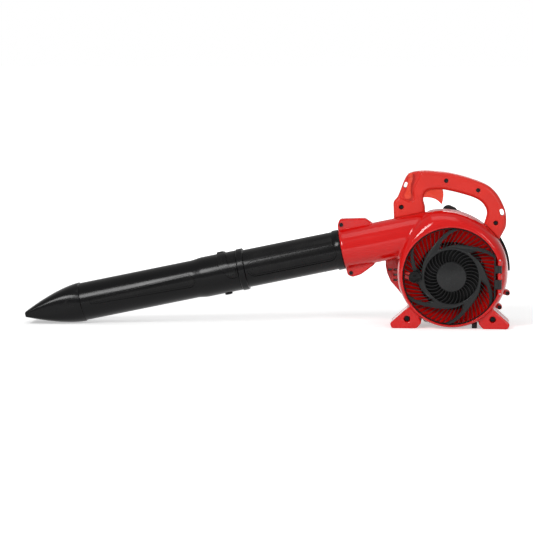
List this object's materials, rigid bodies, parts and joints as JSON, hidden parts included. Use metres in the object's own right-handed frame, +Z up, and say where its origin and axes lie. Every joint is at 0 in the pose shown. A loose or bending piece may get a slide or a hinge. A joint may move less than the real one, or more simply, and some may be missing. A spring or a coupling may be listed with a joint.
{
  "type": "hand-held petrol leaf blower",
  "caption": "Hand-held petrol leaf blower: scroll fan housing with a hinged round intake grille, loop handle, clamped blow tube with flat nozzle, two-stroke engine behind.",
  "frame": {"origin": "centre of the bounding box's base, on the surface the blower stands on", "axes": "+X from the nozzle towards the back of the fan housing, +Y from the intake grille towards the engine, +Z up"},
  "size_m": [1.0086, 0.2588, 0.3222],
  "materials": {
    "housing_red": "gloss",
    "handle_red": "satin",
    "control_red": "satin",
    "black_plastic": "satin",
    "grille_plastic": "satin",
    "rubber": "matt",
    "steel": "machined",
    "dark_steel": "blackened",
    "muffler_steel": "heat-resistant paint",
    "cast_alloy": "cast",
    "foam": "open foam",
    "tank_plastic": "translucent",
    "clear_bulb": "soft"
  },
  "bodies": {
    "housing": {"fan_cover": "housing_red", "fan_housing_back": "housing_red", "housing_screws": "dark_steel", "clamp_screws": "dark_steel", "rubber_pads": "rubber", "hinge_pin": "steel", "upper_tube": "black_plastic", "handle_left": "handle_red", "handle_right": "handle_red", "handle_screws": "dark_steel", "trigger_pin": "steel", "trigger_spring": "steel", "lever_pin": "dark_steel", "throttle_cable": "rubber", "crankcase_front": "cast_alloy", "crankcase_back": "cast_alloy", "main_bearings": "steel", "oil_seals": "rubber", "connecting_rod": "dark_steel", "wrist_pin": "steel", "piston": "cast_alloy", "piston_rings": "steel", "cylinder": "cast_alloy", "cylinder_bolts": "dark_steel", "ignition_coil": "dark_steel", "ignition_lead": "rubber", "spark_plug": "steel", "plug_cap": "rubber", "fan_shroud": "black_plastic", "recoil_housing": "black_plastic", "recoil_spring": "steel", "engine_cowl": "black_plastic", "muffler": "muffler_steel", "muffler_guard": "housing_red", "insulator": "black_plastic", "carburettor": "cast_alloy", "air_filter_base": "black_plastic", "filter_foam": "foam", "air_filter_cover": "black_plastic", "fuel_tank": "tank_plastic", "fuel_lines": "tank_plastic"},
    "grille": {"intake_grille": "grille_plastic"},
    "grille_screw": {"grille_knob": "black_plastic"},
    "rotor": {"impeller": "housing_red", "impeller_nut": "steel", "crankshaft": "steel", "flywheel": "cast_alloy", "flywheel_nut": "steel"},
    "trigger": {"throttle_trigger": "control_red"},
    "throttle_arm": {"throttle_lever": "steel"},
    "cruise_control": {"cruise_lever": "control_red"},
    "switch": {"stop_switch": "black_plastic"},
    "primer": {"primer_bulb": "clear_bulb"},
    "choke": {"choke_lever": "control_red"},
    "filter_screw": {"filter_knob": "black_plastic"},
    "filler_cap": {"fuel_cap": "black_plastic"},
    "pull_grip": {"starter_grip": "black_plastic"},
    "pulley": {"starter_pulley": "black_plastic"},
    "blow_tube": {"lower_tube": "black_plastic", "nozzle": "black_plastic"}
  },
  "joints": [
    {"name": "grille_hinge", "type": "hinge", "parent": "housing", "child": "grille", "pos_m": [0.4824, -0.115, 0.109], "axis": [0, 0, 1], "range_deg": [0, 100]},
    {"name": "grille_screw_turn", "type": "hinge", "parent": "grille", "child": "grille_screw", "pos_m": [0.3094, -0.122, 0.109], "axis": [0, 1, 0], "range_deg": [0, 1080]},
    {"name": "rotor_spin", "type": "hinge", "parent": "housing", "child": "rotor", "pos_m": [0.3838, -0.056, 0.109], "axis": [0, 1, 0], "continuous": true},
    {"name": "trigger_squeeze", "type": "hinge", "parent": "housing", "child": "trigger", "pos_m": [0.3178, -0.032, 0.28], "axis": [0, -1, 0], "range_deg": [0, 18], "stiffness_Nm_per_rad": 0.4, "springref_deg": -28.65},
    {"name": "throttle_turn", "type": "hinge", "parent": "housing", "child": "throttle_arm", "pos_m": [0.4381, 0.0406, 0.161], "axis": [0, -1, 0], "range_deg": [0, 36]},
    {"name": "cruise_lever_turn", "type": "hinge", "parent": "housing", "child": "cruise_control", "pos_m": [0.2918, -0.0514, 0.2716], "axis": [0, 1, 0], "range_deg": [0, 40]},
    {"name": "stop_switch_slide", "type": "slide", "parent": "housing", "child": "switch", "axis": [1, 0, 0], "range_m": [0, 0.006]},
    {"name": "primer_push", "type": "slide", "parent": "housing", "child": "primer", "axis": [0, 0, 1], "range_m": [0, 0.003], "stiffness_N_per_m": 400, "springref_m": -0.001},
    {"name": "choke_turn", "type": "hinge", "parent": "housing", "child": "choke", "pos_m": [0.4488, 0.0443, 0.163], "axis": [-1, 0, 0], "range_deg": [0, 50]},
    {"name": "filter_screw_turn", "type": "hinge", "parent": "housing", "child": "filter_screw", "pos_m": [0.4758, 0.0243, 0.143], "axis": [1, 0, 0], "range_deg": [0, 1080]},
    {"name": "filler_cap_turn", "type": "hinge", "parent": "housing", "child": "filler_cap", "pos_m": [0.3138, 0.054, 0.02985], "axis": [-1, 0, 0], "range_deg": [0, 720]},
    {"name": "grip_pull", "type": "slide", "parent": "housing", "child": "pull_grip", "axis": [-1, 0, 0], "range_m": [0, 0.5], "stiffness_N_per_m": 10, "springref_m": -0.2},
    {"name": "pulley_turn", "type": "hinge", "parent": "housing", "child": "pulley", "pos_m": [0.3838, 0.1073, 0.109], "axis": [0, -1, 0], "range_deg": [0, 1150]},
    {"name": "blow_tube_twist", "type": "hinge", "parent": "housing", "child": "blow_tube", "pos_m": [0.3838, -0.056, 0.207], "axis": [-0.9785, 0, -0.2062], "range_deg": [0, 25]}
  ],
  "couplings": [
    {"joint": "throttle_turn", "follows": "trigger_squeeze", "ratio": 2},
    {"joint": "pulley_turn", "follows": "grip_pull", "rad_per_m": 40}
  ]
}
